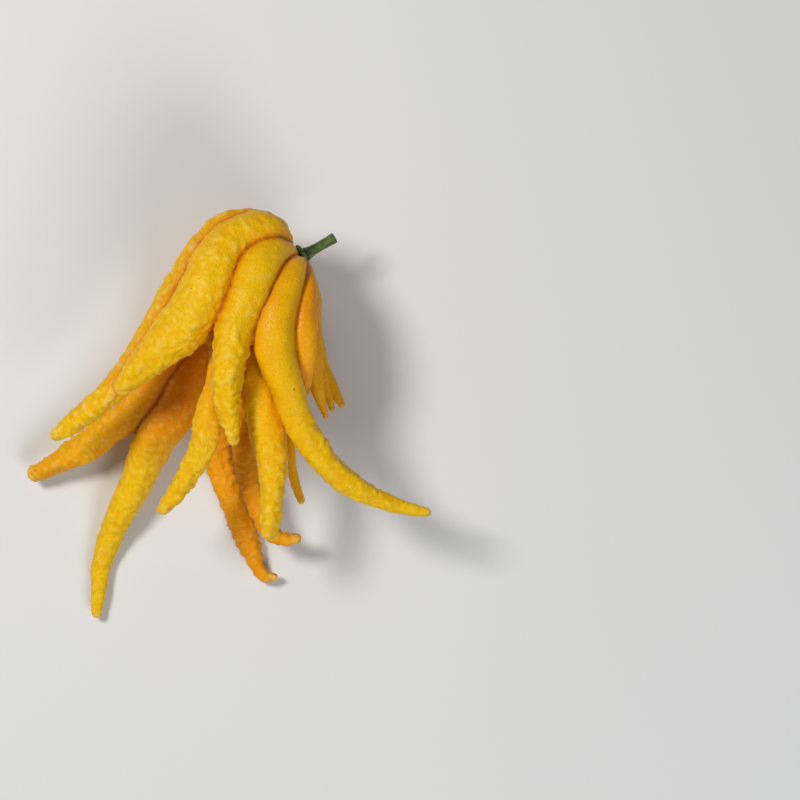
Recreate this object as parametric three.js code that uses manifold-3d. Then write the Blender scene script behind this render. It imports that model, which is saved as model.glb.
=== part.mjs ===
// A Buddha's hand citron, picked, lying on its back: the fruit, its calyx and the stub of its stalk.
// Millimetres, +Z up from the surface that the fruit lies on, +Y towards the stalk end.
import * as THREE from "three";
import { mergeVertices } from "three/addons/utils/BufferGeometryUtils.js";
import Module from "manifold-3d";

const wasm = await Module();
wasm.setup();

// Driving dimensions
const fingerSides = 10; // facets around a finger
const ringSpacing = 9; // between the rings along a finger
const frameSteps = 80; // samples of a centreline's turning frame
const touchGap = 0.3; // between two pieces that touch

const palm = { centre: [8, 56, 41], halfSize: [28, 30, 30] };
const shoulder = { centre: [27, 67.5, 39], radius: 9 };
const stalkSeat = { centre: [33.5, 71.5, 38.5], towards: [0.85, 0.5, -0.16], radius: 8, depth: 14 };
const calyx = { radius: 4.7, lobeHeight: 1.1, lobes: 5, thickness: 1.5, bevel: 0.4 };
const stalk = { length: 15, neckRadius: 2.1, footRadius: 3.1, cutRadius: 2.4, sides: 14 };

// Each finger's centreline from the stalk end to its tip, as [x, y, z, radius].
const fingers = {
  upperLeft: [
    [27, 72.5, 46, 5.5],
    [17.5, 83.5, 54, 7.2],
    [4, 84.5, 58.5, 7.5],
    [-5.3, 77.2, 60.5, 7.6],
    [-11.6, 69.4, 61.5, 7.6],
    [-16.5, 61.4, 62, 7.6],
    [-23, 50.5, 62, 7.6],
    [-29, 39, 61, 7.4],
    [-37.8, 25.6, 59, 6.9],
    [-49.5, 12, 55.5, 6.1],
    [-61, 2, 52, 5.5],
    [-70, -4.5, 50, 4.5],
    [-77.5, -9.5, 49, 2.5],
  ],
  frontLeft: [
    [27.5, 72.5, 50, 5.5],
    [18, 81.5, 60.5, 9.5],
    [4.5, 78, 66.5, 9.7],
    [-3, 67.5, 69.5, 11],
    [-7.8, 54.9, 70.5, 12],
    [-17.3, 40, 70.5, 11.5],
    [-30.5, 27.5, 69, 8.3],
    [-40.9, 17, 66, 5.3],
    [-47, 10.8, 64, 2.9],
  ],
  frontMiddle: [
    [31, 69, 52, 4.5],
    [22.5, 73.3, 62.5, 8],
    [16, 66, 70, 9.2],
    [12, 55, 73, 9.2],
    [6.5, 41.5, 75, 8.6],
    [4.4, 31, 76.5, 8.2],
    [2.5, 18, 77, 7],
    [2.5, 8, 76, 6.2],
    [4, -1.5, 75, 4.4],
    [5.5, -12.5, 74, 2],
  ],
  frontRight: [
    [32, 69, 50, 4.5],
    [30.4, 65, 59.5, 6.9],
    [27.3, 57.5, 66, 8.3],
    [23.8, 46, 70, 9.3],
    [22.6, 36, 71.3, 9.5],
    [23.8, 26, 71, 9],
    [28.2, 14, 70, 7.7],
    [31.5, 3, 67, 7.2],
    [36.5, -8.2, 65, 6.5],
    [47.2, -22.7, 62, 5.9],
    [58.8, -31.8, 59, 5.1],
    [70.5, -37.5, 56, 4],
    [81, -41, 54, 3],
    [92, -43, 53, 2],
  ],
  rightShort: [
    [33.5, 69, 46, 3.5],
    [36, 60, 57.5, 5.4],
    [35.7, 49, 64, 6],
    [35.4, 37, 66.5, 6],
    [36, 27, 65.5, 5],
    [36.7, 19.5, 63, 3.3],
    [37.6, 13, 61, 1.5],
  ],
  rightThin: [
    [33.5, 70, 40, 3.5],
    [36.5, 58, 49, 5],
    [38.2, 43, 54.5, 4.9],
    [39.6, 27.5, 55.5, 4.2],
    [41, 14, 52, 3],
    [45.5, -1, 46, 1.4],
  ],
  rightSprig: [
    [34, 68.5, 34, 4],
    [37.5, 52.5, 38, 5],
    [40, 32, 40, 3],
    [44.5, 14, 38, 2.3],
    [48, 2.5, 37, 1.4],
  ],
  rightOuter: [
    [34, 67, 30, 4.5],
    [36.5, 52.5, 29, 5.5],
    [39, 39, 31, 4],
    [42.5, 25.5, 31, 3],
    [47.5, 13, 30, 2.8],
    [52.5, 4, 30, 1.5],
  ],
  innerLeft: [
    [0.5, 38.5, 50, 6.5],
    [-0.3, 25, 57, 6.4],
    [-1.5, 14, 60, 6.5],
    [-5, 5, 61, 6.6],
    [-7.2, -4, 61, 6.5],
    [-9.3, -13, 60, 6],
    [-15.5, -25, 58, 5],
    [-22.5, -35.5, 55, 4],
    [-29, -43, 54, 2.5],
  ],
  innerMiddle: [
    [13.5, 38.5, 46, 6.5],
    [15, 23, 55.5, 7.4],
    [16.4, 7, 58.5, 7.7],
    [20, -9, 58.5, 8],
    [21.8, -20.5, 59, 6.9],
    [21.9, -30, 59, 6],
    [21.3, -39.5, 58, 5.1],
    [20.5, -49.5, 57, 4],
    [20, -55, 57, 3.5],
  ],
  backMiddle: [
    [28.5, 70, 30, 6],
    [15, 66.5, 15, 8],
    [5, 53, 8, 9.5],
    [0, 35, 9.5, 9],
    [-3.5, 14, 11, 7.5],
    [-5.5, -6.5, 11, 7],
    [-4, -23.5, 8.5, 6.5],
    [0.5, -36.5, 6.5, 6],
    [4.5, -48, 6, 6],
    [9, -59.5, 4.2, 5],
    [12.5, -69, 4.5, 3.5],
    [16, -74, 5, 3],
    [21.5, -74, 7, 1.5],
  ],
  backHooked: [
    [32, 68, 30, 5.5],
    [26, 57.5, 17, 8],
    [20.5, 39, 17, 7.5],
    [13, 14, 22, 6],
    [7.5, -11, 26, 5],
    [8.5, -24.5, 24, 5],
    [12, -36, 22, 5],
    [15.5, -46.5, 21, 4.5],
    [20, -53.5, 20, 4],
    [26.5, -56.5, 20, 3],
    [33, -55.5, 21, 2],
  ],
  sliver: [
    [24.5, 29.5, 60, 4],
    [28, 9.5, 50, 2.5],
    [29, -6, 44, 2],
    [29.5, -17.5, 44, 2],
    [30.8, -28.5, 43, 2.2],
    [34.6, -39.4, 42, 1.8],
  ],
  farLeft: [
    [25, 74.5, 40, 5.5],
    [8, 81, 40, 7.5],
    [-12.5, 67.5, 38, 7.5],
    [-18.5, 50, 36.5, 8],
    [-24, 31, 29, 8.2],
    [-31, 14.5, 21, 8.6],
    [-41.2, 2.8, 18, 8.5],
    [-53.3, -5.4, 16, 7.2],
    [-66, -14.4, 14, 6.6],
    [-77.5, -20.7, 12, 5.4],
    [-86, -25, 10, 4.1],
    [-92.5, -27.5, 9, 3.5],
  ],
  longLeft: [
    [26, 72.5, 34, 6],
    [10, 74.5, 24, 8],
    [-6.5, 62, 19, 9.5],
    [-13, 43.5, 21, 9.5],
    [-17, 21, 25, 9.5],
    [-23, 3.5, 25, 9.5],
    [-31.5, -8, 22, 9.5],
    [-37.5, -19, 18, 8.5],
    [-42.5, -30.5, 14, 7.5],
    [-49, -43, 11, 6.5],
    [-56, -58.5, 5, 5.5],
    [-59.5, -69, 4, 4.5],
    [-60.5, -80.5, 4.5, 3.5],
    [-61.5, -93, 5, 2],
  ],
  backRight: [
    [33, 67, 34, 5.5],
    [34, 57, 26, 6.5],
    [33.5, 39, 18, 6.5],
    [32, 24.5, 10, 5.5],
    [32.5, 14.5, 3.6, 4.5],
    [34, 9, 2.8, 3],
  ],
};

// The radius at a share of the length, between the two nearest route points.
function radiusAt(route, centreline, share) {
  const place = centreline.getUtoTmapping(share) * (route.length - 1);
  const i = Math.min(Math.floor(place), route.length - 2);
  return THREE.MathUtils.lerp(route[i][3], route[i + 1][3], place - i);
}

// A finger is turned on the lathe as a straight spindle along Y, then bent along its centreline.
function fingerGeometry(route) {
  const points = route.map(([x, y, z]) => new THREE.Vector3(x, y, z));
  const centreline = new THREE.CatmullRomCurve3(points, false, "catmullrom");
  const length = centreline.getLength();
  const base = route[0][3];
  const tip = route[route.length - 1][3];
  const capAngles = [Math.PI / 6, Math.PI / 3];

  const profile = [new THREE.Vector2(0, 0)];
  for (const a of capAngles) profile.push(new THREE.Vector2(base * Math.sin(a), base * (1 - Math.cos(a))));
  const straight = length - base - tip;
  const rings = Math.max(4, Math.round(straight / ringSpacing));
  for (let i = 0; i <= rings; i++) {
    const along = base + (straight * i) / rings;
    profile.push(new THREE.Vector2(radiusAt(route, centreline, along / length), along));
  }
  for (const a of capAngles.toReversed()) {
    profile.push(new THREE.Vector2(tip * Math.sin(a), length - tip * (1 - Math.cos(a))));
  }
  profile.push(new THREE.Vector2(0, length));

  const geometry = new THREE.LatheGeometry(profile, fingerSides);
  const frames = centreline.computeFrenetFrames(frameSteps);
  const position = geometry.getAttribute("position");
  const vertex = new THREE.Vector3();
  for (let i = 0; i < position.count; i++) {
    const share = Math.min(position.getY(i) / length, 1);
    const nearest = Math.round(share * frameSteps);
    vertex.copy(centreline.getPointAt(share));
    vertex.addScaledVector(frames.normals[nearest], position.getX(i));
    vertex.addScaledVector(frames.binormals[nearest], -position.getZ(i));
    position.setXYZ(i, vertex.x, vertex.y, vertex.z);
  }
  return geometry;
}

function palmGeometry() {
  const geometry = new THREE.SphereGeometry(1, 20, 14);
  geometry.scale(...palm.halfSize);
  geometry.translate(...palm.centre);
  return geometry;
}

function shoulderGeometry() {
  const geometry = new THREE.SphereGeometry(shoulder.radius, 16, 10);
  geometry.translate(...shoulder.centre);
  return geometry;
}

// A closed geometry as a manifold-3d solid, and back.
function toSolid(geometry) {
  const bare = geometry.clone();
  bare.deleteAttribute("normal");
  bare.deleteAttribute("uv");
  const merged = mergeVertices(bare, 1e-4);
  return new wasm.Manifold(
    new wasm.Mesh({
      numProp: 3,
      vertProperties: new Float32Array(merged.attributes.position.array),
      triVerts: new Uint32Array(merged.index.array),
    }),
  );
}

function toGeometry(solid) {
  const mesh = solid.getMesh();
  const geometry = new THREE.BufferGeometry();
  geometry.setAttribute("position", new THREE.BufferAttribute(mesh.vertProperties, 3));
  geometry.setIndex(new THREE.BufferAttribute(mesh.triVerts, 1));
  geometry.computeVertexNormals();
  return geometry;
}

// Turns a geometry made along +Y so that it points the way the stalk does, from a point on its axis.
const stalkTurn = new THREE.Quaternion().setFromUnitVectors(
  new THREE.Vector3(0, 1, 0),
  new THREE.Vector3(...stalkSeat.towards).normalize(),
);

function placeOnStalkAxis(geometry, along) {
  const place = new THREE.Vector3(0, along, 0).applyQuaternion(stalkTurn);
  place.add(new THREE.Vector3(...stalkSeat.centre));
  geometry.applyQuaternion(stalkTurn);
  geometry.translate(place.x, place.y, place.z);
  return geometry;
}

// The fingers grow out of the palm as one body. It is cut flat under the calyx and where it rests.
function fruitGeometry() {
  let fruit = toSolid(palmGeometry()).add(toSolid(shoulderGeometry()));
  for (const route of Object.values(fingers)) fruit = fruit.add(toSolid(fingerGeometry(route)));

  const seat = new THREE.CylinderGeometry(stalkSeat.radius, stalkSeat.radius, stalkSeat.depth, 24);
  fruit = fruit.subtract(toSolid(placeOnStalkAxis(seat, stalkSeat.depth / 2)));

  const slabSize = 400;
  const surface = new THREE.BoxGeometry(slabSize, slabSize, slabSize);
  surface.translate(0, 0, -slabSize / 2);
  return toGeometry(fruit.subtract(toSolid(surface)));
}

// A five-lobed star cut from a sheet with soft edges.
function calyxGeometry() {
  const outline = new THREE.Shape();
  const steps = calyx.lobes * 8;
  for (let i = 0; i < steps; i++) {
    const a = (2 * Math.PI * i) / steps;
    const r = calyx.radius + calyx.lobeHeight * Math.cos(calyx.lobes * a);
    if (i === 0) outline.moveTo(r, 0);
    else outline.lineTo(r * Math.cos(a), r * Math.sin(a));
  }
  const geometry = new THREE.ExtrudeGeometry(outline, {
    depth: calyx.thickness,
    bevelThickness: calyx.bevel,
    bevelSize: calyx.bevel,
    bevelSegments: 1,
  });
  geometry.rotateX(-Math.PI / 2);
  return placeOnStalkAxis(geometry, touchGap + calyx.bevel);
}

// The stalk flares into the calyx and ends in the cut.
function stalkGeometry() {
  const { length, neckRadius, footRadius, cutRadius, sides } = stalk;
  const profile = [
    [0, 0],
    [footRadius, 0],
    [neckRadius + 0.4, length * 0.15],
    [neckRadius, length * 0.4],
    [neckRadius, length * 0.75],
    [cutRadius, length],
    [0, length],
  ].map(([r, y]) => new THREE.Vector2(r, y));
  const geometry = new THREE.LatheGeometry(profile, sides);
  return placeOnStalkAxis(geometry, 2 * touchGap + 2 * calyx.bevel + calyx.thickness);
}

const peel = new THREE.MeshStandardMaterial({ color: 0xf0b90e, roughness: 0.5, metalness: 0 });
const greenSkin = new THREE.MeshStandardMaterial({ color: 0x6f8030, roughness: 0.6, metalness: 0 });
const greenBark = new THREE.MeshStandardMaterial({ color: 0x56692a, roughness: 0.7, metalness: 0 });

const citron = new THREE.Group();
const pieces = [
  ["citron_fruit", fruitGeometry(), peel],
  ["calyx", calyxGeometry(), greenSkin],
  ["stalk_stub", stalkGeometry(), greenBark],
];
for (const [name, geometry, material] of pieces) {
  const piece = new THREE.Mesh(geometry, material);
  piece.name = name;
  citron.add(piece);
}

export default citron;
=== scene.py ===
import math

import bmesh
import bpy
import numpy as np
from mathutils import Matrix, Vector, noise


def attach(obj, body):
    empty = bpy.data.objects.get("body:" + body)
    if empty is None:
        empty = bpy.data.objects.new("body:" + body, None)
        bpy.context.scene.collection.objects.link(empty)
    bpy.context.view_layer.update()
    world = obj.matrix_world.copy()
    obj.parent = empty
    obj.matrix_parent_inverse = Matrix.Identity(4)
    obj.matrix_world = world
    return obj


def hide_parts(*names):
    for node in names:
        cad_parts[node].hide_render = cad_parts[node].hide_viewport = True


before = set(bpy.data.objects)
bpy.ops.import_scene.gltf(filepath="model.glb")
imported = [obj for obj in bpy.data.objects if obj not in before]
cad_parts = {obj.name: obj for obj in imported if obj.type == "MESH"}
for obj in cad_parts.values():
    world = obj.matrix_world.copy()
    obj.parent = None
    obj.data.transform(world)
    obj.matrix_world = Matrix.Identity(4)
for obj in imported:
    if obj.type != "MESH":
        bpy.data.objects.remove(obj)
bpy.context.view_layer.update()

mm = 0.001

# The fruit: a palm and its fingers, grown as one. Places and sizes are in millimetres.

palm = {
    "centre": (8, 56, 41),
    "halfSize": (28, 30, 30),
    "shoulderCentre": (27, 67.5, 39),   # where the ribs gather under the stalk
    "shoulderRadius": 9,
    # The palm's deep orange tone is painted shade, where it lies under the fingers.
    "bumps": (0.1, 0.1), "toneAndShade": (0.85, 0.85), "dry": 0.0, "pale": 0.0,
}

# Each finger's centreline from the stalk end to its tip, as x, y, z and radius in millimetres.
# "bumps" is how knobbly it is at its root and at its tip, the tone runs there from 0, lemon, to 1, orange, and
# its orange on the roots of the deep fingers is partly painted shade,
# "dry" is how pale and brown its very tip is, and "pale" is how creamy the tops of its bumps are, partly a
# painted highlight.
fingers = {
    "upperLeft": {
        "bumps": (0.8, 0.9), "toneAndShade": (0.08, 0.12), "dry": 0.3, "pale": 0.7,
        "route": [
            (27, 72.5, 46, 5.5), (17.5, 83.5, 54, 7.2), (4, 84.5, 58.5, 7.5), (-5.3, 77.2, 60.5, 7.6),
            (-11.6, 69.4, 61.5, 7.6), (-16.5, 61.4, 62, 7.6), (-23, 50.5, 62, 7.6), (-29, 39, 61, 7.4),
            (-37.8, 25.6, 59, 6.9), (-49.5, 12, 55.5, 6.1), (-61, 2, 52, 5.5), (-70, -4.5, 50, 4.5),
            (-77.5, -9.5, 49, 2.5),
        ],
    },
    "frontLeft": {
        "bumps": (0.5, 0.9), "toneAndShade": (0.1, 0.06), "dry": 0.35, "pale": 0.3,
        "route": [
            (27.5, 72.5, 50, 5.5), (18, 81.5, 60.5, 9.5), (4.5, 78, 66.5, 9.7), (-3, 67.5, 69.5, 11),
            (-7.8, 54.9, 70.5, 12), (-17.3, 40, 70.5, 11.5), (-30.5, 27.5, 69, 8.3), (-40.9, 17, 66, 5.3),
            (-47, 10.8, 64, 2.9),
        ],
    },
    "frontMiddle": {
        "bumps": (0.25, 1.0), "toneAndShade": (0.06, 0.06), "dry": 0.35, "pale": 0.4,
        "route": [
            (31, 69, 52, 4.5), (22.5, 73.3, 62.5, 8), (16, 66, 70, 9.2), (12, 55, 73, 9.2),
            (6.5, 41.5, 75, 8.6), (4.4, 31, 76.5, 8.2), (2.5, 18, 77, 7), (2.5, 8, 76, 6.2),
            (4, -1.5, 75, 4.4), (5.5, -12.5, 74, 2),
        ],
    },
    "frontRight": {
        "bumps": (0.12, 0.75), "toneAndShade": (0.34, 0.12), "dry": 0.4, "pale": 0.15,
        "route": [
            (32, 69, 50, 4.5), (30.4, 65, 59.5, 6.9), (27.3, 57.5, 66, 8.3), (23.8, 46, 70, 9.3),
            (22.6, 36, 71.3, 9.5), (23.8, 26, 71, 9), (28.2, 14, 70, 7.7), (31.5, 3, 67, 7.2),
            (36.5, -8.2, 65, 6.5), (47.2, -22.7, 62, 5.9), (58.8, -31.8, 59, 5.1), (70.5, -37.5, 56, 4),
            (81, -41, 54, 3), (92, -43, 53, 2),
        ],
    },
    "rightShort": {
        "bumps": (0.1, 0.35), "toneAndShade": (0.7, 0.5), "dry": 0.3, "pale": 0.05,
        "route": [
            (33.5, 69, 46, 3.5), (36, 60, 57.5, 5.4), (35.7, 49, 64, 6), (35.4, 37, 66.5, 6),
            (36, 27, 65.5, 5), (36.7, 19.5, 63, 3.3), (37.6, 13, 61, 1.5),
        ],
    },
    "rightThin": {
        "bumps": (0.1, 0.4), "toneAndShade": (0.65, 0.5), "dry": 0.4, "pale": 0.05,
        "route": [
            (33.5, 70, 40, 3.5), (36.5, 58, 49, 5), (38.2, 43, 54.5, 4.9), (39.6, 27.5, 55.5, 4.2),
            (41, 14, 52, 3), (45.5, -1, 46, 1.4),
        ],
    },
    "rightSprig": {
        "bumps": (0.1, 0.4), "toneAndShade": (0.65, 0.5), "dry": 0.3, "pale": 0.05,
        "route": [
            (34, 68.5, 34, 4), (37.5, 52.5, 38, 5), (40, 32, 40, 3), (44.5, 14, 38, 2.3),
            (48, 2.5, 37, 1.4),
        ],
    },
    "rightOuter": {
        "bumps": (0.1, 0.4), "toneAndShade": (0.65, 0.5), "dry": 0.3, "pale": 0.05,
        "route": [
            (34, 67, 30, 4.5), (36.5, 52.5, 29, 5.5), (39, 39, 31, 4), (42.5, 25.5, 31, 3),
            (47.5, 13, 30, 2.8), (52.5, 4, 30, 1.5),
        ],
    },
    "innerLeft": {
        "bumps": (0.4, 1), "toneAndShade": (0.3, 0.1), "dry": 0.3, "pale": 0.25,
        "route": [
            (0.5, 38.5, 50, 6.5), (-0.3, 25, 57, 6.4), (-1.5, 14, 60, 6.5), (-5, 5, 61, 6.6),
            (-7.2, -4, 61, 6.5), (-9.3, -13, 60, 6), (-15.5, -25, 58, 5), (-22.5, -35.5, 55, 4),
            (-29, -43, 54, 2.5),
        ],
    },
    "innerMiddle": {
        "bumps": (0.2, 0.85), "toneAndShade": (0.22, 0.2), "dry": 0.4, "pale": 0.35,
        "route": [
            (13.5, 38.5, 46, 6.5), (15, 23, 55.5, 7.4), (16.4, 7, 58.5, 7.7), (20, -9, 58.5, 8),
            (21.8, -20.5, 59, 6.9), (21.9, -30, 59, 6), (21.3, -39.5, 58, 5.1), (20.5, -49.5, 57, 4),
            (20, -55, 57, 3.5),
        ],
    },
    "backMiddle": {
        "bumps": (0.5, 1.15), "toneAndShade": (0.95, 0.65), "dry": 0.9, "pale": 0.1,
        "route": [
            (28.5, 70, 30, 6), (15, 66.5, 15, 8), (5, 53, 8, 9.5), (0, 35, 9.5, 9), (-3.5, 14, 11, 7.5),
            (-5.5, -6.5, 11, 7), (-4, -23.5, 8.5, 6.5), (0.5, -36.5, 6.5, 6), (4.5, -48, 6, 6),
            (9, -59.5, 4.2, 5), (12.5, -69, 4.5, 3.5), (16, -74, 5, 3), (21.5, -74, 7, 1.5),
        ],
    },
    "backHooked": {
        "bumps": (0.4, 1.0), "toneAndShade": (1, 0.75), "dry": 0.9, "pale": 0.05,
        "route": [
            (32, 68, 30, 5.5), (26, 57.5, 17, 8), (20.5, 39, 17, 7.5), (13, 14, 22, 6), (7.5, -11, 26, 5),
            (8.5, -24.5, 24, 5), (12, -36, 22, 5), (15.5, -46.5, 21, 4.5), (20, -53.5, 20, 4),
            (26.5, -56.5, 20, 3), (33, -55.5, 21, 2),
        ],
    },
    "sliver": {
        "bumps": (0.3, 0.5), "toneAndShade": (0.6, 0.45), "dry": 0.3, "pale": 0.05,
        "route": [
            (24.5, 29.5, 60, 4), (28, 9.5, 50, 2.5), (29, -6, 44, 2), (29.5, -17.5, 44, 2),
            (30.8, -28.5, 43, 2.2), (34.6, -39.4, 42, 1.8),
        ],
    },
    "farLeft": {
        "bumps": (0.5, 1), "toneAndShade": (1, 0.5), "dry": 1, "pale": 0.2,
        "route": [
            (25, 74.5, 40, 5.5), (8, 81, 40, 7.5), (-12.5, 67.5, 38, 7.5), (-18.5, 50, 36.5, 8),
            (-24, 31, 29, 8.2), (-31, 14.5, 21, 8.6), (-41.2, 2.8, 18, 8.5), (-53.3, -5.4, 16, 7.2),
            (-66, -14.4, 14, 6.6), (-77.5, -20.7, 12, 5.4), (-86, -25, 10, 4.1), (-92.5, -27.5, 9, 3.5),
        ],
    },
    "longLeft": {
        "bumps": (0.35, 0.7), "toneAndShade": (1, 0.08), "dry": 0.4, "pale": 0.25,
        "route": [
            (26, 72.5, 34, 6), (10, 74.5, 24, 8), (-6.5, 62, 19, 9.5), (-13, 43.5, 21, 9.5),
            (-17, 21, 25, 9.5), (-23, 3.5, 25, 9.5), (-31.5, -8, 22, 9.5), (-37.5, -19, 18, 8.5),
            (-42.5, -30.5, 14, 7.5), (-49, -43, 11, 6.5), (-56, -58.5, 5, 5.5), (-59.5, -69, 4, 4.5),
            (-60.5, -80.5, 4.5, 3.5), (-61.5, -93, 5, 2),
        ],
    },
    "backRight": {
        "bumps": (0.25, 0.8), "toneAndShade": (0.8, 0.5), "dry": 0.4, "pale": 0.1,
        "route": [
            (33, 67, 34, 5.5), (34, 57, 26, 6.5), (33.5, 39, 18, 6.5), (32, 24.5, 10, 5.5),
            (32.5, 14.5, 3.6, 4.5), (34, 9, 2.8, 3),
        ],
    },
}

growth = {
    "sides": 20,             # around a finger before it is joined to the rest
    "ringSpacing": 2.0,
    "fineSteps": 16,         # of the curve between two places of a route
    "capRings": 5,
    "ballSides": (40, 24),   # around and from pole to pole
    "voxel": 0.92,
    "smoothing": 4,
}


# A smooth curve through the route, cut into even stations with a frame that turns with it.
def routeStations(route, spacing):
    points = np.array(route, dtype=float) * mm
    padded = np.vstack([2 * points[0] - points[1], points, 2 * points[-1] - points[-2]])
    fine = []
    for i in range(len(points) - 1):
        before, start, end, after = padded[i:i + 4]
        for t in np.linspace(0, 1, growth["fineSteps"], endpoint=False):
            slopeA, slopeB = (end - before) / 2, (after - start) / 2
            fine.append((2 * t**3 - 3 * t**2 + 1) * start + (t**3 - 2 * t**2 + t) * slopeA
                        + (3 * t**2 - 2 * t**3) * end + (t**3 - t**2) * slopeB)
    fine.append(points[-1])
    fine = np.array(fine)
    run = np.concatenate([[0], np.cumsum(np.linalg.norm(np.diff(fine[:, :3], axis=0), axis=1))])
    length = run[-1]
    base, tip = points[0][3], points[-1][3]
    quarter = np.linspace(0, math.pi / 2, growth["capRings"], endpoint=False)
    evens = np.linspace(base, length - tip, max(4, round(length / (spacing * mm))))
    dome = 1 - np.cos(quarter)
    places = np.concatenate([base * dome, evens, (length - tip * dome)[::-1]])
    centres = np.stack([np.interp(places, run, fine[:, k]) for k in range(4)], axis=1)
    radii = centres[:, 3].copy()
    radii[places < base] = np.sqrt(np.maximum(base**2 - (base - places[places < base])**2, 1e-12))
    atTip = places > length - tip
    radii[atTip] = np.sqrt(np.maximum(tip**2 - (tip - (length - places[atTip]))**2, 1e-12))
    tangents = np.gradient(centres[:, :3], places, axis=0)
    tangents /= np.linalg.norm(tangents, axis=1)[:, None]
    turn = Vector((0, 0, 1)).rotation_difference(Vector(tangents[0]))
    turns = [turn]
    for before, after in zip(tangents, tangents[1:]):
        turn = Vector(before).rotation_difference(Vector(after)) @ turn
        turns.append(turn)
    return {
        "run": places, "length": length, "centres": centres[:, :3], "radii": radii,
        "tangents": tangents, "turns": turns,
    }


# A straight tube of rings, bent along its route.
def addFinger(fruitMesh, stations):
    count = len(stations["run"])
    tube = bmesh.new()
    bmesh.ops.create_cone(tube, cap_ends=True, segments=growth["sides"], radius1=1, radius2=1, depth=1)
    lengthwise = [e for e in tube.edges if abs(e.verts[0].co.z - e.verts[1].co.z) > 0.5]
    bmesh.ops.subdivide_edges(tube, edges=lengthwise, cuts=count - 2)
    for v in tube.verts:
        i = round((v.co.z + 0.5) * (count - 1))
        across = Vector((v.co.x, v.co.y, 0)) * stations["radii"][i]
        v.co = Vector(stations["centres"][i]) + stations["turns"][i] @ across
    bmesh.ops.recalc_face_normals(tube, faces=tube.faces)
    mesh = bpy.data.meshes.new("tube")
    tube.to_mesh(mesh)
    tube.free()
    fruitMesh.from_mesh(mesh)
    bpy.data.meshes.remove(mesh)


def addBall(fruitMesh, centre, halfSize):
    around, down = growth["ballSides"]
    ball = bmesh.ops.create_uvsphere(fruitMesh, u_segments=around, v_segments=down, radius=1)["verts"]
    bmesh.ops.scale(fruitMesh, verts=ball, vec=Vector(halfSize) * mm)
    bmesh.ops.translate(fruitMesh, verts=ball, vec=Vector(centre) * mm)


def placesOf(mesh):
    flat = np.empty(len(mesh.vertices) * 3)
    mesh.vertices.foreach_get("co", flat)
    return flat.reshape(-1, 3)


def normalsOf(mesh):
    flat = np.empty(len(mesh.vertices) * 3)
    mesh.vertices.foreach_get("normal", flat)
    return flat.reshape(-1, 3)


def storeValue(mesh, name, values):
    layer = mesh.attributes.new(name, "FLOAT", "POINT")
    layer.data.foreach_set("value", np.ascontiguousarray(values, dtype=np.float32))


def smoothStep(low, high, x):
    t = np.clip((x - low) / (high - low), 0, 1)
    return t * t * (3 - 2 * t)


def noiseAt(samples):
    return np.array([noise.noise(Vector(p)) for p in samples])


def cellsAt(samples):
    return np.array([noise.voronoi(Vector(p))[0][0] for p in samples])


# For every point of the skin: the finger it belongs to, how far along and around that finger it is,
# and how close the next finger's skin is.
def readSkin(places, allStations):
    count = len(places)
    centre, halfSize = np.array(palm["centre"]) * mm, np.array(palm["halfSize"]) * mm
    offset = places - centre
    stretched = np.linalg.norm(offset / halfSize, axis=1)
    skin = {
        "depth": (stretched - 1) * np.linalg.norm(offset, axis=1) / stretched,
        "next": np.full(count, 1.0), "owner": np.full(count, -1), "run": np.zeros(count),
        "left": np.full(count, 1.0), "across": np.zeros((count, 2)), "radius": np.full(count, 20 * mm),
    }
    for number, stations in enumerate(allStations):
        trunk = slice(growth["capRings"], -growth["capRings"])   # the rings between the two domed ends
        centres, radii, run = (stations[key][trunk] for key in ("centres", "radii", "run"))
        gap = (places**2).sum(1)[:, None] - 2 * places @ centres.T + (centres**2).sum(1)[None]
        gap = np.sqrt(np.maximum(gap, 0)) - radii[None]
        nearest = gap.argmin(1)
        depth = gap[np.arange(count), nearest]
        offset = places - centres[nearest]
        beyond = (offset * stations["tangents"][trunk][nearest]).sum(1)
        sideways = Vector((1, 0, 0)), Vector((0, 1, 0))
        turned = np.array([[q @ side for side in sideways] for q in stations["turns"][trunk]])
        across = np.einsum("nkj,nj->nk", turned[nearest], offset)
        closer = depth < skin["depth"]
        skin["next"] = np.where(closer, skin["depth"], np.minimum(skin["next"], depth))
        skin["depth"] = np.where(closer, depth, skin["depth"])
        skin["owner"][closer] = number
        skin["run"][closer] = (run[nearest] + beyond)[closer]
        skin["left"][closer] = stations["length"] - skin["run"][closer]
        skin["radius"][closer] = radii[nearest][closer]
        wide = np.maximum(np.linalg.norm(across, axis=1), 1e-6)
        skin["across"][closer] = (across / wide[:, None])[closer]
    return skin


# Heights, depths, spacings, sizes, lengths and radii are in millimetres.
relief = {
    "ringHeight": 1.8, "ringSpacing": 3.0, "ringReach": 5.0, "ringSoftness": 0.08, "ringMiddle": 0.24,
    "driftSize": 9.0, "drift": 1.1,          # how far the rings wander, in ring spacings
    "pebbleHeight": 0.45, "pebbleSpacing": 2.7, "pebbleWidth": 0.75, "pebbleMiddle": 0.55,
    "lumpHeight": 0.55, "lumpSize": 8.0, "lumpSeed": 11.3,
    "ribHeight": 0.7, "ribLength": 24.0, "ribTurns": 1.3,
    # The last is how far the painted shade beside a crease reaches.
    "creaseDepth": 0.9, "creaseWidth": 0.9, "creaseShade": 1.9,
    "bumpsFrom": 0.25, "bumpsTo": 0.75,      # shares of a finger, where a root's bumps turn into its tip's
    "toneFrom": 0.44, "toneTo": 0.68,        # the same for its colour, which on the deep roots is partly painted shade
    "slimRadius": 4.5, "slimLeast": 0.5,     # thinner fingers have lower relief, down to this share
    "tipLength": 3, "tipLeast": 0.4,         # and so do the last few millimetres
    "dryLength": 0.5, "dryReach": 6,         # a dry tip is driest up to the first and ends at the second
    "crestGain": 1.4,
    "regrowth": 1.5, "sink": 0.5,            # the most that skin is put back out to its finger's radius, or in
}


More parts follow.
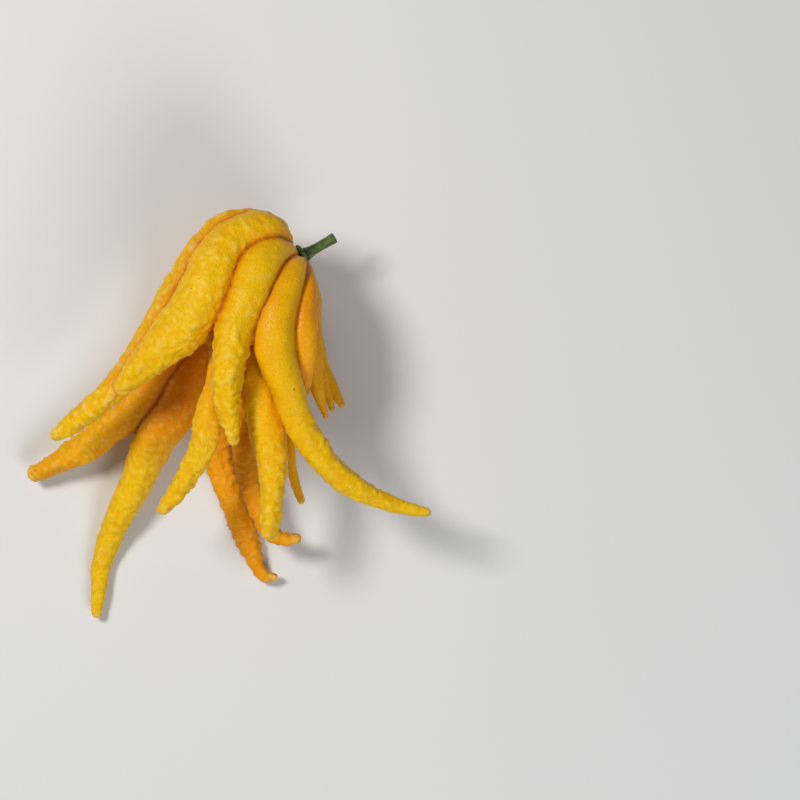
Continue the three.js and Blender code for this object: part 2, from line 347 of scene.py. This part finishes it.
# A setting of the finger that each point belongs to. The palm comes last, so its number is -1.
def settingAt(owner, key):
    return np.array([piece[key] for piece in [*fingers.values(), palm]])[owner]


# The same for a setting that goes from a root's value to a tip's.
def blendAlong(owner, key, share, start, end):
    values = settingAt(owner, key)
    return values[:, 0] + (values[:, 1] - values[:, 0]) * smoothStep(start, end, share)


# Knobbly rings and pebbles towards the tips, slow lumps all over, and pinched creases where fingers meet.
def carveSkin(mesh, skin):
    places, normals = placesOf(mesh), normalsOf(mesh)
    owner, run = skin["owner"], skin["run"]
    share = np.clip(run / (run + skin["left"]), 0, 1)
    bumps = blendAlong(owner, "bumps", share, relief["bumpsFrom"], relief["bumpsTo"])
    seeds = (owner * 5.37 + 3.1)[:, None]    # so that no two fingers share a pattern
    scaled = places / mm
    around = skin["across"] * (skin["radius"] / (relief["ringReach"] * mm))[:, None]
    drift = relief["drift"] * noiseAt(scaled / relief["driftSize"])
    rings = np.column_stack([run / (relief["ringSpacing"] * mm) + drift, around]) + seeds
    ringWave = np.sqrt(noiseAt(rings)**2 + relief["ringSoftness"]**2)
    cells = cellsAt(scaled / relief["pebbleSpacing"])
    pebbles = 1 - np.clip(cells / relief["pebbleWidth"], 0, 1)**2
    lumps = noiseAt(scaled / relief["lumpSize"] + relief["lumpSeed"])
    wander = np.column_stack([run / (relief["ribLength"] * mm), skin["across"] * relief["ribTurns"]])
    ribs = noiseAt(wander + seeds)
    apart = np.maximum(skin["next"] - skin["depth"], 0) / mm
    crease = np.exp(-apart / relief["creaseWidth"])
    tipLeast = relief["tipLeast"]
    tipFade = smoothStep(0, relief["tipLength"] * mm, skin["left"]) * (1 - tipLeast) + tipLeast
    slim = np.clip(skin["radius"] / (relief["slimRadius"] * mm), relief["slimLeast"], 1)
    knobs = relief["ringHeight"] * (ringWave - relief["ringMiddle"])
    knobs += relief["pebbleHeight"] * (pebbles - relief["pebbleMiddle"])
    height = bumps * tipFade * slim * knobs
    height += slim * (relief["lumpHeight"] * lumps + relief["ribHeight"] * ribs)
    height -= relief["creaseDepth"] * crease
    shrunk = np.clip(-skin["depth"] / mm, -relief["sink"], relief["regrowth"])
    height += shrunk * (1 - crease) * (owner >= 0)      # not on the palm
    places += normals * (height * mm)[:, None]
    places[:, 2] = np.maximum(places[:, 2], 0)
    mesh.vertices.foreach_set("co", places.ravel())
    tipNearness = 1 - smoothStep(relief["dryLength"] * mm, relief["dryReach"] * mm, skin["left"])
    # How creamy a finger's bump tops are, partly a painted highlight.
    storeValue(mesh, "pale", settingAt(owner, "pale"))
    # Root tone running to tip tone; the orange on the deep fingers' roots is partly painted shade.
    storeValue(mesh, "toneAndShade", blendAlong(owner, "toneAndShade", share, relief["toneFrom"], relief["toneTo"]))
    # Bump height; the shader paints shade between the bumps and a highlight on their tops from it.
    storeValue(mesh, "crest", np.clip(0.5 + relief["crestGain"] * bumps * knobs, 0, 1))
    storeValue(mesh, "knobbly", bumps)
    # Painted shade near the creases between fingers.
    storeValue(mesh, "crease", np.exp(-apart / relief["creaseShade"]))
    storeValue(mesh, "tip", settingAt(owner, "dry") * tipNearness)
    across = skin["across"] * skin["radius"][:, None] / mm
    along = run / mm + 31 * owner            # each finger starts elsewhere in the pattern
    grown = mesh.attributes.new("grown", "FLOAT_VECTOR", "POINT")    # along and around the finger
    grown.data.foreach_set("vector", np.column_stack([along, across]).astype(np.float32).ravel())
    mesh.update()


# Where the stalk leaves the fruit, which way it points, and how wide its seat is.
stalkSeat = {"centre": (33.5, 71.5, 38.5), "towards": (0.85, 0.5, -0.16), "radius": 8}


# The skin is pressed flat where the calyx sits.
def pressSeat(mesh):
    places = placesOf(mesh)
    centre = np.array(stalkSeat["centre"]) * mm
    axis = np.array(Vector(stalkSeat["towards"]).normalized())
    along = (places - centre) @ axis
    wide = np.linalg.norm((places - centre) - along[:, None] * axis, axis=1)
    over = (along > 0) & (wide < stalkSeat["radius"] * mm)
    places[over] -= axis[None] * along[over][:, None]
    mesh.vertices.foreach_set("co", places.ravel())
    mesh.update()


def meshObject(name, mesh):
    piece = bpy.data.objects.new(name, mesh)
    bpy.context.scene.collection.objects.link(piece)
    return piece


def growFruit():
    allStations = [routeStations(f["route"], growth["ringSpacing"]) for f in fingers.values()]
    whole = bmesh.new()
    addBall(whole, palm["centre"], palm["halfSize"])
    addBall(whole, palm["shoulderCentre"], [palm["shoulderRadius"]] * 3)
    for stations in allStations:
        addFinger(whole, stations)
    rough = bpy.data.meshes.new("fruitParts")
    whole.to_mesh(rough)
    whole.free()
    source = meshObject("fruitParts", rough)
    joined = source.modifiers.new("join", "REMESH")
    joined.mode = "VOXEL"
    joined.voxel_size = growth["voxel"] * mm
    bpy.context.view_layer.update()
    evaluated = source.evaluated_get(bpy.context.evaluated_depsgraph_get())
    skinMesh = bpy.data.meshes.new_from_object(evaluated)
    skinMesh.name = "citronFruit"
    bpy.data.objects.remove(source)
    bpy.data.meshes.remove(rough)
    soft = bmesh.new()
    soft.from_mesh(skinMesh)
    for _ in range(growth["smoothing"]):
        bmesh.ops.smooth_vert(
            soft, verts=soft.verts, factor=0.5, use_axis_x=True, use_axis_y=True, use_axis_z=True)
    soft.to_mesh(skinMesh)
    soft.free()
    carveSkin(skinMesh, readSkin(placesOf(skinMesh), allStations))
    pressSeat(skinMesh)
    skinMesh.shade_smooth()
    print("fruit:", len(skinMesh.vertices), "points,", len(skinMesh.polygons), "faces")
    return meshObject("citronFruit", skinMesh)


# A shader socket that can be used in sums. A sum adds its Math nodes.
class Wire:
    def __init__(self, recipe, socket):
        self.recipe, self.socket = recipe, socket

    def maths(self, operation, first, second):
        return self.recipe.add("ShaderNodeMath", {"operation": operation}, {0: first, 1: second})

    def __add__(self, other):
        return self.maths("ADD", self, other)

    def __radd__(self, other):
        return self.maths("ADD", other, self)

    def __sub__(self, other):
        return self.maths("SUBTRACT", self, other)

    def __rsub__(self, other):
        return self.maths("SUBTRACT", other, self)

    def __mul__(self, other):
        return self.maths("MULTIPLY", self, other)

    def __rmul__(self, other):
        return self.maths("MULTIPLY", other, self)

    def absolute(self):
        return self.recipe.add("ShaderNodeMath", {"operation": "ABSOLUTE"}, {0: self})

    def __pow__(self, other):
        return self.maths("POWER", self, other)


class Recipe:
    def __init__(self, name):
        self.material = bpy.data.materials.new(name)
        self.material.use_nodes = True
        self.tree = self.material.node_tree
        self.tree.nodes.clear()

    # Any node: its type, its settings, then the values or links of its sockets.
    def add(self, kind, settings=None, inputs=None, output=0):
        node = self.tree.nodes.new(kind)
        for key, value in (settings or {}).items():
            setattr(node, key, value)
        for key, value in (inputs or {}).items():
            if isinstance(value, Wire):
                self.tree.links.new(value.socket, node.inputs[key])
            else:
                node.inputs[key].default_value = value
        return Wire(self, node.outputs[output]) if node.outputs else None

    def attribute(self, name, output="Fac"):
        return self.add("ShaderNodeAttribute", {"attribute_name": name}, output=output)

    def place(self):
        return self.add("ShaderNodeTexCoord", output="Object")

    def ramp(self, value, low, high):     # 0 below low, 1 above high, smooth between
        inputs = {"Value": value, "From Min": low, "From Max": high}
        return self.add("ShaderNodeMapRange", {"interpolation_type": "SMOOTHSTEP"}, inputs)

    def blend(self, factor, colourA, colourB, kind="MIX"):
        settings = {"data_type": "RGBA", "blend_type": kind}
        return self.add("ShaderNodeMix", settings, {0: factor, 6: colourA, 7: colourB}, output=2)

    def finish(self, inputs):
        surface = self.add("ShaderNodeBsdfPrincipled", None, inputs)
        self.add("ShaderNodeOutputMaterial", None, {"Surface": surface})
        return self.material


# Spacings and depths are in millimetres, scales in noise cells to a metre.
# Pairs named "Edge", "Mottle" and "Draw" are where a ramp starts and ends.
peelLook = {
    "lemon": (0.85, 0.525, 0.001, 1), "orange": (0.80, 0.27, 0.001, 1), "deep": (0.50, 0.14, 0.001, 1),
    "cream": (0.88, 0.62, 0.14, 1), "olive": (0.42, 0.24, 0.003, 1), "brown": (0.24, 0.10, 0.02, 1),
    "cloudScale": 55, "cloudWarmth": 0.7,          # slow drifts between lemon and orange
    "mottleScale": 330, "noiseDetail": 3,
    # The wrinkle lines are sunk by the bump map and coloured darker.
    "wrinkleStretch": (0.6, 0.2, 0.2), "wrinkleWidth": 0.05, "wrinkleDarkening": 0.14,
    "hollowEdge": (0.12, 0.5), "hollowShade": 0.28,             # painted shade, orange between the bumps
    "shadeNearCrease": 0.75, "shadeNearCreaseReach": 0.42,               # painted shade, orange beside the creases; a lower reach spreads it further
    # Painted shade: deep orange-brown inside the creases.
    "creaseEdge": (0.3, 1.0), "creaseShade": 0.8,
    "crestEdge": (0.45, 1.0), "crestMottle": (0.36, 0.62),       # where a pale finger's bumps are cream, partly a painted highlight on their tops
    "poreSpacing": 0.95, "poreEdge": (0.1, 0.55),
    "poreStain": 0.3, "poreFade": 0.2,             # pores fade where the skin is knobbly
    "speckSpacing": 11.0, "speckEdge": (0.025, 0.06), "speckDraw": (0.6, 0.62), "speckStain": 0.85,
    "tipCream": 0.5, "tipBrown": 0.6, "tipMottle": (0.5, 0.62),
    "roughness": 0.4, "mottledRoughness": 0.22, "poreRoughness": 0.12, "shine": 0.15,
    "reliefStrength": 0.5, "reliefDepth": 0.35, "mottleRelief": 0.6, "poreRelief": 0.7, "wrinkleRelief": 0.3,
    "fleshShare": 0.12, "fleshReach": (1.0, 0.4, 0.05), "fleshDepth": 2,     # light in the skin
}


def peelMaterial():
    look = peelLook
    peel = Recipe("citronPeel")
    place = peel.place()
    toneAndShade, crest = peel.attribute("toneAndShade"), peel.attribute("crest")
    crease, tip, knobbly = peel.attribute("crease"), peel.attribute("tip"), peel.attribute("knobbly")
    cloudInputs = {"Vector": place, "Scale": look["cloudScale"], "Detail": look["noiseDetail"]}
    cloud = peel.add("ShaderNodeTexNoise", None, cloudInputs)
    mottleInputs = {"Vector": place, "Scale": look["mottleScale"], "Detail": look["noiseDetail"]}
    mottle = peel.add("ShaderNodeTexNoise", None, mottleInputs)
    poreInputs = {"Vector": place, "Scale": 1 / (look["poreSpacing"] * mm)}
    pores = peel.add("ShaderNodeTexVoronoi", {"feature": "F1"}, poreInputs)
    pit = 1 - peel.ramp(pores, *look["poreEdge"])
    speckInputs = {"Vector": place, "Scale": 1 / (look["speckSpacing"] * mm)}
    speck = peel.add("ShaderNodeTexVoronoi", {"feature": "F1"}, speckInputs)
    speckDraw = peel.add("ShaderNodeTexVoronoi", {"feature": "F1"}, speckInputs, output="Color")
    drawn = peel.add("ShaderNodeSeparateColor", None, {"Color": speckDraw}, output="Red")
    specks = 1 - peel.ramp(speck, *look["speckEdge"])
    specks = specks * peel.ramp(drawn, *look["speckDraw"])       # two cells in five have one

    followInputs = {"Vector": peel.attribute("grown", "Vector"), "Scale": look["wrinkleStretch"]}
    follow = peel.add("ShaderNodeMapping", None, followInputs)
    wrinkle = peel.add("ShaderNodeTexNoise", None, {"Vector": follow, "Scale": 1.0, "Detail": 2})
    line = 1 - peel.ramp((wrinkle - 0.5).absolute(), 0.0, look["wrinkleWidth"])

    # Lemon to orange, with painted shade on the deep roots and on the palm.
    warmth = peel.ramp(toneAndShade + look["cloudWarmth"] * (cloud - 0.5), 0.0, 1.0)
    colour = peel.blend(warmth, look["lemon"], look["orange"])
    # Painted shade: more orange in the low places between the bumps.
    hollow = 1 - peel.ramp(crest, *look["hollowEdge"])
    colour = peel.blend(hollow * look["hollowShade"], colour, look["orange"])
    # Darker along the wrinkle lines of knobbly skin.
    colour = peel.blend(line * knobbly * look["wrinkleDarkening"], colour, look["deep"])
    # Painted shade: orange beside the creases and deep orange-brown inside them.
    colour = peel.blend(crease ** look["shadeNearCreaseReach"] * look["shadeNearCrease"], colour, look["orange"])
    colour = peel.blend(peel.ramp(crease, *look["creaseEdge"]) * look["creaseShade"], colour, look["deep"])
    # Cream on the bump tops, partly a painted highlight.
    creamAndSheen = peel.ramp(crest, *look["crestEdge"]) * peel.ramp(mottle, *look["crestMottle"]) * (1 - crease)
    colour = peel.blend(creamAndSheen * peel.attribute("pale"), colour, look["cream"])
    colour = peel.blend(pit * (look["poreStain"] - look["poreFade"] * knobbly), colour, look["olive"])
    colour = peel.blend(tip * look["tipCream"], colour, look["cream"])
    colour = peel.blend(tip * peel.ramp(mottle, *look["tipMottle"]) * look["tipBrown"], colour, look["brown"])
    colour = peel.blend(specks * look["speckStain"], colour, look["brown"])
    roughness = look["roughness"] + look["mottledRoughness"] * (mottle - 0.5) + look["poreRoughness"] * pit
    height = look["mottleRelief"] * mottle - look["poreRelief"] * pit - look["wrinkleRelief"] * line * knobbly
    bumpInputs = {"Strength": look["reliefStrength"], "Distance": look["reliefDepth"] * mm, "Height": height}
    bumps = peel.add("ShaderNodeBump", None, bumpInputs)
    return peel.finish({
        "Base Color": colour, "Roughness": roughness, "Normal": bumps,
        "Subsurface Weight": look["fleshShare"], "Subsurface Radius": look["fleshReach"],
        "Subsurface Scale": look["fleshDepth"] * mm, "Specular IOR Level": look["shine"],
    })


# The stalk stands on the seat, with the calyx around its foot.
calyx = {
    "radius": 4.7, "lobeHeight": 1.3, "lobes": 5, "lobeSteps": 12, "foot": 0.3,
    "rise": [(0.35, 1.02), (0.55, 0.98), (0.6, 0.9), (0.45, 0.82), (0.15, 0.8)],   # lift in mm, then shrink
    "dark": (0.10, 0.15, 0.02, 1), "light": (0.20, 0.24, 0.05, 1), "grain": 700,
}
stalk = {
    "length": 15, "neckRadius": 2.1, "footRadius": 3.1, "cutRadius": 2.4, "foot": 2.9,
    "sides": 30, "cuts": 14, "ridges": 6, "ridgeHeight": 0.05, "knots": 0.03,
    "dark": (0.05, 0.09, 0.012, 1), "light": (0.12, 0.17, 0.03, 1), "grain": 500,
}


def onStalkAxis(along):
    turn = Vector((0, 0, 1)).rotation_difference(Vector(stalkSeat["towards"]))
    start = Vector(stalkSeat["centre"]) * mm + turn @ Vector((0, 0, along * mm))
    return Matrix.Translation(start) @ turn.to_matrix().to_4x4()


def growCalyx():
    cap = bmesh.new()
    steps = calyx["lobes"] * calyx["lobeSteps"]
    bmesh.ops.create_circle(cap, cap_ends=True, segments=steps, radius=calyx["radius"] * mm)
    for v in cap.verts:
        a = math.atan2(v.co.y, v.co.x)
        lobe = math.cos(calyx["lobes"] * a)
        reach = 1 + calyx["lobeHeight"] / calyx["radius"] * (lobe * 0.7 + 0.3 * lobe**3)
        v.co *= reach
    covered = list(cap.faces)
    for level, (lift, shrink) in enumerate(calyx["rise"]):
        grown = bmesh.ops.extrude_face_region(cap, geom=covered)["geom"]
        if level > 0:
            bmesh.ops.delete(cap, geom=covered, context="FACES_ONLY")
        covered = [g for g in grown if isinstance(g, bmesh.types.BMFace)]
        top = [g for g in grown if isinstance(g, bmesh.types.BMVert)]
        bmesh.ops.scale(cap, verts=top, vec=(shrink, shrink, 1))
        bmesh.ops.translate(cap, verts=top, vec=(0, 0, lift * mm))
    bmesh.ops.recalc_face_normals(cap, faces=cap.faces)
    bmesh.ops.transform(cap, matrix=onStalkAxis(calyx["foot"]), verts=cap.verts)
    mesh = bpy.data.meshes.new("calyxCap")
    cap.to_mesh(mesh)
    cap.free()
    mesh.shade_smooth()
    return meshObject("calyxCap", mesh)


def growStalk():
    stub = bmesh.new()
    bmesh.ops.create_cone(stub, cap_ends=True, segments=stalk["sides"], radius1=1, radius2=1, depth=1)
    lengthwise = [e for e in stub.edges if abs(e.verts[0].co.z - e.verts[1].co.z) > 0.5]
    bmesh.ops.subdivide_edges(stub, edges=lengthwise, cuts=stalk["cuts"])
    for v in stub.verts:
        share = v.co.z + 0.5
        flare = math.exp(-share * 7)
        radius = stalk["neckRadius"] + (stalk["footRadius"] - stalk["neckRadius"]) * flare
        radius += (stalk["cutRadius"] - stalk["neckRadius"]) * share**4
        a = math.atan2(v.co.y, v.co.x)
        ridge = stalk["ridgeHeight"] * math.cos(stalk["ridges"] * a + share)
        radius *= 1 + ridge + stalk["knots"] * noise.noise(Vector((a, share * 9, 2.2)))
        outwards = Vector((math.cos(a), math.sin(a), 0))
        v.co = outwards * radius * mm + Vector((0, 0, share * stalk["length"] * mm))
    bmesh.ops.recalc_face_normals(stub, faces=stub.faces)
    bmesh.ops.transform(stub, matrix=onStalkAxis(stalk["foot"]), verts=stub.verts)
    mesh = bpy.data.meshes.new("stalkStub")
    stub.to_mesh(mesh)
    stub.free()
    mesh.shade_smooth()
    return meshObject("stalkStub", mesh)


def plainPlant(name, look):
    plant = Recipe(name)
    grainInputs = {"Vector": plant.place(), "Scale": look["grain"], "Detail": 4}
    grain = plant.add("ShaderNodeTexNoise", None, grainInputs)
    colour = plant.blend(plant.ramp(grain, 0.35, 0.65), look["dark"], look["light"])
    bumps = plant.add("ShaderNodeBump", None, {"Strength": 0.5, "Distance": 0.3 * mm, "Height": grain})
    return plant.finish({"Base Color": colour, "Roughness": 0.55, "Normal": bumps})


fruit = growFruit()
fruit.data.materials.append(peelMaterial())
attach(fruit, "root")
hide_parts("citron_fruit")

cap = growCalyx()
cap.data.materials.append(plainPlant("calyxSkin", calyx))
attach(cap, "root")
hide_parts("calyx")
print("calyx:", len(cap.data.polygons), "faces")

stub = growStalk()
stub.data.materials.append(plainPlant("stalkBark", stalk))
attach(stub, "root")
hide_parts("stalk_stub")
print("stalk:", len(stub.data.polygons), "faces")

studio = {
    "floorSize": 6.0, "floorDrop": 0.1, "floorColour": (0.72, 0.72, 0.71, 1),      # the drop is in millimetres
    "keyPlace": (-0.6, 0.38, 1.15), "keySize": 0.36, "keyPower": 12, "keyColour": (1.0, 0.97, 0.92),
    "fillPlace": (0.55, -1.0, 1.1), "fillSize": 0.8, "fillPower": 10, "fillColour": (0.92, 0.96, 1.0),
    "aim": (0, 0, 0.03),
    "skyColour": (0.88, 0.92, 0.97, 1), "skyStrength": 0.2,
    "cameraPlace": (0.0783, 0.00725, 1.54), "lens": 150,
}


def addFloor():
    slab = bmesh.new()
    bmesh.ops.create_grid(slab, x_segments=1, y_segments=1, size=studio["floorSize"] / 2)
    bmesh.ops.translate(slab, verts=slab.verts, vec=(0, 0, -studio["floorDrop"] * mm))
    mesh = bpy.data.meshes.new("floor")
    slab.to_mesh(mesh)
    slab.free()
    floor = meshObject("floor", mesh)
    paper = Recipe("paleFloor")
    floor.data.materials.append(paper.finish({"Base Color": studio["floorColour"], "Roughness": 0.7}))


def addLight(name):
    lamp = bpy.data.lights.new(name, "AREA")
    lamp.shape = "DISK"
    lamp.size, lamp.energy, lamp.color = studio[name + "Size"], studio[name + "Power"], studio[name + "Colour"]
    light = bpy.data.objects.new(name, lamp)
    place = studio[name + "Place"]
    light.location = place
    light.rotation_euler = (Vector(studio["aim"]) - Vector(place)).to_track_quat("-Z", "Y").to_euler()
    bpy.context.scene.collection.objects.link(light)


addFloor()
addLight("key")
addLight("fill")
world = bpy.data.worlds.new("sky")
world.use_nodes = True
world.node_tree.nodes["Background"].inputs["Color"].default_value = studio["skyColour"]
world.node_tree.nodes["Background"].inputs["Strength"].default_value = studio["skyStrength"]
bpy.context.scene.world = world
bpy.context.scene.view_settings.view_transform = "Standard"

lens = bpy.data.cameras.new("camera")
lens.lens = studio["lens"]
lens.sensor_width = 36
camera = bpy.data.objects.new("camera", lens)
camera.location = studio["cameraPlace"]
bpy.context.scene.collection.objects.link(camera)
bpy.context.scene.camera = camera
print("studio: floor, two lamps, sky and camera")
